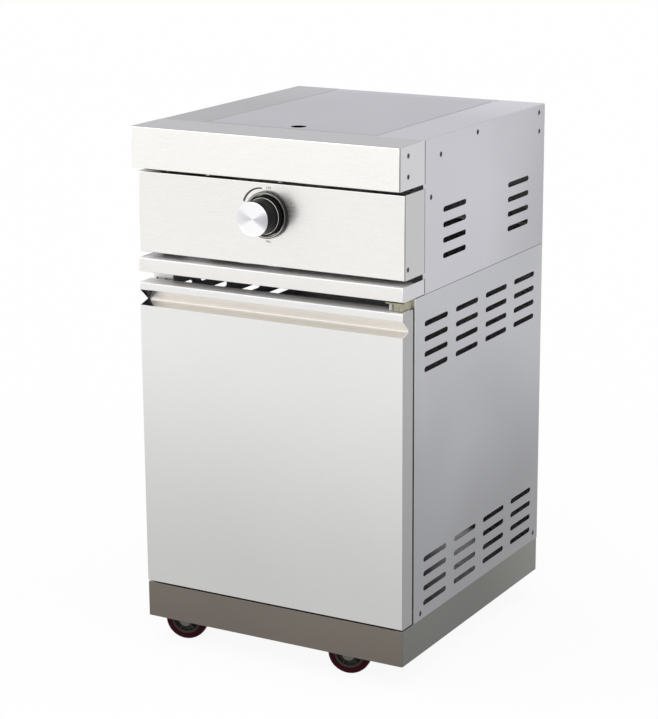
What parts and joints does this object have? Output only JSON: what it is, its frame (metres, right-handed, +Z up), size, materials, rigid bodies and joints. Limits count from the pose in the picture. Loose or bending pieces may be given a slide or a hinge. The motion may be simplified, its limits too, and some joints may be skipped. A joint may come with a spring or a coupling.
{
  "type": "outdoor kitchen island, side burner module",
  "caption": "Stainless side burner module for an outdoor kitchen island: folded cabinet on castors with a pivot door, vented sides, gas knob and a burner under a flush lid.",
  "frame": {"origin": "on the floor under the middle of the footprint", "axes": "+Z up, +X to the right as seen by someone facing the door, +Y from the door to the back"},
  "size_m": [0.5, 0.5798, 0.9057],
  "materials": {
    "brushed_stainless": "brushed",
    "satin_stainless": "satin",
    "dark_stainless": "satin",
    "chrome": "polished",
    "silver": "turned",
    "brass": "machined",
    "zinc": "zinc plated",
    "cast_iron": "matt",
    "enamel": "gloss enamel",
    "ceramic": "glazed",
    "black_plastic": "gloss",
    "grey_plastic": "matt",
    "white_plastic": "matt",
    "rubber": "matt",
    "red_tyre": "satin"
  },
  "bodies": {
    "cabinet": {"plinth": "dark_stainless", "cabinet_floor": "satin_stainless", "left_side_panel": "satin_stainless", "right_side_panel": "satin_stainless", "upper_left_panel": "satin_stainless", "upper_right_panel": "satin_stainless", "back_panel": "satin_stainless", "hose_grommet": "rubber", "front_rail": "brushed_stainless", "control_panel": "brushed_stainless", "front_cap": "brushed_stainless", "heat_shield": "satin_stainless", "upper_hinge_bracket": "zinc", "hinge_washer": "white_plastic", "magnet_catch": "white_plastic", "burner_bowl": "satin_stainless", "burner_body": "cast_iron", "flame_ring": "brass", "burner_cap": "enamel", "spark_electrode": "ceramic", "pan_support": "cast_iron", "valve_bracket": "zinc", "gas_valve": "brass", "injector": "brass", "hose_nipple": "brass", "lid_bumper_left": "rubber", "lid_bumper_right": "rubber", "knob_bezel": "chrome", "front_left_castor_plate": "zinc", "front_right_castor_plate": "zinc", "rear_left_castor_plate": "zinc", "rear_right_castor_plate": "zinc"},
    "door": {"door_skin": "brushed_stainless", "door_handle_profile": "brushed_stainless", "door_liner": "satin_stainless", "upper_hinge_pin": "zinc", "lower_hinge_pin": "zinc", "strike_plate": "zinc"},
    "lid": {"lid": "brushed_stainless", "lid_pin_left": "zinc", "lid_pin_right": "zinc"},
    "spindle": {"valve_spindle": "brass"},
    "knob": {"knob_body": "black_plastic", "knob_ring": "chrome", "knob_cap": "silver"},
    "front_left_fork": {"front_left_castor_fork": "zinc"},
    "front_left_wheel": {"front_left_castor_hub": "grey_plastic", "front_left_castor_tyre": "red_tyre"},
    "front_right_fork": {"front_right_castor_fork": "zinc"},
    "front_right_wheel": {"front_right_castor_hub": "grey_plastic", "front_right_castor_tyre": "red_tyre"},
    "rear_left_fork": {"rear_left_castor_fork": "zinc"},
    "rear_left_wheel": {"rear_left_castor_hub": "grey_plastic", "rear_left_castor_tyre": "red_tyre"},
    "rear_right_fork": {"rear_right_castor_fork": "zinc"},
    "rear_right_wheel": {"rear_right_castor_hub": "grey_plastic", "rear_right_castor_tyre": "red_tyre"}
  },
  "joints": [
    {"name": "door_hinge", "type": "hinge", "parent": "cabinet", "child": "door", "pos_m": [0.236, -0.2309, 0.3737], "axis": [0, 0, 1], "range_deg": [0, 110]},
    {"name": "lid_hinge", "type": "hinge", "parent": "cabinet", "child": "lid", "pos_m": [0, 0.2599, 0.8997], "axis": [-1, 0, 0], "range_deg": [0, 120]},
    {"name": "knob_turn", "type": "hinge", "parent": "cabinet", "child": "spindle", "pos_m": [0, -0.2479, 0.7763], "axis": [0, -1, 0], "range_deg": [0, 180]},
    {"name": "knob_push", "type": "slide", "parent": "spindle", "child": "knob", "axis": [0, 1, 0], "range_m": [0, 0.004], "stiffness_N_per_m": 500, "springref_m": -0.002},
    {"name": "front_left_swivel", "type": "hinge", "parent": "cabinet", "child": "front_left_fork", "pos_m": [-0.1626, -0.2063, 0.0929], "axis": [0, 0, 1], "range_deg": [-215, 5]},
    {"name": "front_left_roll", "type": "hinge", "parent": "front_left_fork", "child": "front_left_wheel", "pos_m": [-0.19061, -0.21381, 0.0375], "axis": [0.2588, -0.9659, 0], "continuous": true},
    {"name": "front_right_swivel", "type": "hinge", "parent": "cabinet", "child": "front_right_fork", "pos_m": [0.1626, -0.2063, 0.0929], "axis": [0, 0, 1], "range_deg": [-215, 5]},
    {"name": "front_right_roll", "type": "hinge", "parent": "front_right_fork", "child": "front_right_wheel", "pos_m": [0.13459, -0.21381, 0.0375], "axis": [0.2588, -0.9659, 0], "continuous": true},
    {"name": "rear_left_swivel", "type": "hinge", "parent": "cabinet", "child": "rear_left_fork", "pos_m": [-0.1626, 0.2181, 0.0929], "axis": [0, 0, 1], "continuous": true},
    {"name": "rear_left_roll", "type": "hinge", "parent": "rear_left_fork", "child": "rear_left_wheel", "pos_m": [-0.19061, 0.21059, 0.0375], "axis": [0.2588, -0.9659, 0], "continuous": true},
    {"name": "rear_right_swivel", "type": "hinge", "parent": "cabinet", "child": "rear_right_fork", "pos_m": [0.1626, 0.2181, 0.0929], "axis": [0, 0, 1], "continuous": true},
    {"name": "rear_right_roll", "type": "hinge", "parent": "rear_right_fork", "child": "rear_right_wheel", "pos_m": [0.13459, 0.21059, 0.0375], "axis": [0.2588, -0.9659, 0], "continuous": true}
  ]
}
